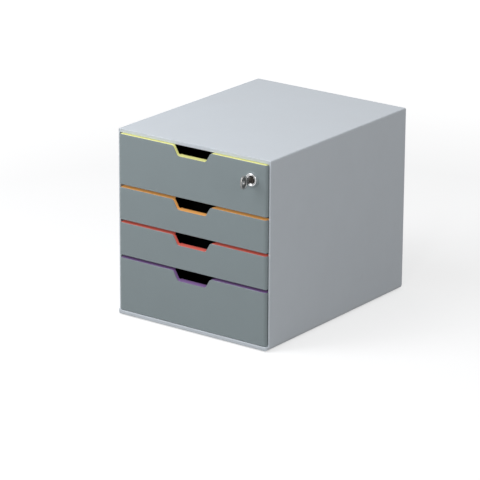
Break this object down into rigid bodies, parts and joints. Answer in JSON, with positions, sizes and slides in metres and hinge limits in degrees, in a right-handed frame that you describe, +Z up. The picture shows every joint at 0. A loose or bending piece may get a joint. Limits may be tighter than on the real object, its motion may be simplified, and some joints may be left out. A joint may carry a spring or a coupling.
{
  "type": "desktop file drawer",
  "caption": "Desktop drawer box with pale top, stacked grey drawer fronts, finger notches edged in colour, and a key lock in the top drawer.",
  "frame": {"origin": "under the middle of the whole part, key included, on the plane that the feet stand on", "axes": "+Z up, drawers open along -Y, +X to the right of someone who faces the drawers"},
  "size_m": [0.28, 0.3824, 0.292],
  "materials": {
    "casing_plastic": "pale grey moulded plastic, satin",
    "base_plastic": "grey moulded plastic",
    "runner_plastic": "dark grey moulded plastic",
    "tray_plastic": "near-black moulded plastic",
    "front_plastic": "mid grey moulded plastic, satin",
    "foot_rubber": "dark rubber",
    "screw_steel": "zinc plated",
    "strike_steel": "zinc plated sheet",
    "lock_chrome": "polished",
    "plug_metal": "dull dark metal",
    "key_nickel": "nickel plated",
    "strip_purple": "coloured moulded plastic",
    "strip_red": "coloured moulded plastic",
    "strip_orange": "coloured moulded plastic",
    "strip_yellow": "coloured moulded plastic"
  },
  "bodies": {
    "casing": {"casing_shell": "casing_plastic", "base_plate": "base_plastic", "rubber_feet": "foot_rubber", "base_screws": "screw_steel", "runner_frame_left": "runner_plastic", "runner_frame_right": "runner_plastic", "frame_screws": "screw_steel", "lock_strike": "strike_steel", "strike_screws": "screw_steel"},
    "bottom_drawer": {"bottom_tray": "tray_plastic", "bottom_front": "front_plastic", "bottom_edge_strip": "strip_purple", "bottom_front_screws": "screw_steel"},
    "lower_drawer": {"lower_tray": "tray_plastic", "lower_front": "front_plastic", "lower_edge_strip": "strip_red", "lower_front_screws": "screw_steel"},
    "upper_drawer": {"upper_tray": "tray_plastic", "upper_front": "front_plastic", "upper_edge_strip": "strip_orange", "upper_front_screws": "screw_steel"},
    "top_drawer": {"top_tray": "tray_plastic", "top_front": "front_plastic", "top_edge_strip": "strip_yellow", "top_front_screws": "screw_steel", "lock_housing": "lock_chrome", "lock_nut": "strike_steel"},
    "plug": {"lock_plug": "plug_metal", "lock_cam": "strike_steel", "cam_screw": "screw_steel"},
    "loose_key": {"key": "key_nickel"}
  },
  "joints": [
    {"name": "bottom_drawer_slide", "type": "slide", "parent": "casing", "child": "bottom_drawer", "axis": [0, -1, 0], "range_m": [0, 0.2587]},
    {"name": "lower_drawer_slide", "type": "slide", "parent": "casing", "child": "lower_drawer", "axis": [0, -1, 0], "range_m": [0, 0.2587]},
    {"name": "upper_drawer_slide", "type": "slide", "parent": "casing", "child": "upper_drawer", "axis": [0, -1, 0], "range_m": [0, 0.2587]},
    {"name": "top_drawer_slide", "type": "slide", "parent": "casing", "child": "top_drawer", "axis": [0, -1, 0], "range_m": [0, 0.2587]},
    {"name": "lock_turn", "type": "hinge", "parent": "top_drawer", "child": "plug", "pos_m": [0.1095, -0.16475, 0.26025], "axis": [0, 1, 0], "range_deg": [0, 90]},
    {"name": "key_pull", "type": "slide", "parent": "plug", "child": "loose_key", "axis": [0, -1, 0], "range_m": [0, 0.03]}
  ]
}
